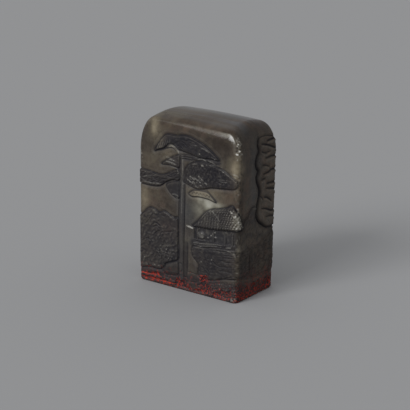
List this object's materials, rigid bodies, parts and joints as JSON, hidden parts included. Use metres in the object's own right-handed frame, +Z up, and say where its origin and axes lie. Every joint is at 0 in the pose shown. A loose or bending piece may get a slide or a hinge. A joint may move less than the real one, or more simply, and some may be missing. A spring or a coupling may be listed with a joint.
{
  "type": "seal stamp",
  "caption": "Oblong carved stone seal with a domed top, a low-relief landscape round its sides and a fret printing face, with dried red paste in its hollows.",
  "frame": {"origin": "middle of the printing face at the base of the stone", "axes": "+Z up through the stone, away from the printing face; +X along the broad sides, to the right seen from the front; the front with the pine and the hut faces -Y"},
  "size_m": [0.0431, 0.0239, 0.0603],
  "materials": {
    "stone": "polished dark grey-brown soapstone with olive and reddish mottling, darker in the carving",
    "seal_paste": "dried cinnabar paste, crumbly and dull red"
  },
  "bodies": {
    "root": {"stone_body": "stone", "paste_printing_face": "seal_paste", "paste_front_upper_streak": "seal_paste", "paste_front_lower_streak": "seal_paste", "paste_front_pine_foot": "seal_paste", "paste_front_rock_foot": "seal_paste", "paste_front_corner": "seal_paste", "paste_right_near": "seal_paste", "paste_right_middle": "seal_paste", "paste_right_far": "seal_paste", "paste_back_foot": "seal_paste", "paste_left_foot": "seal_paste"}
  },
  "joints": []
}
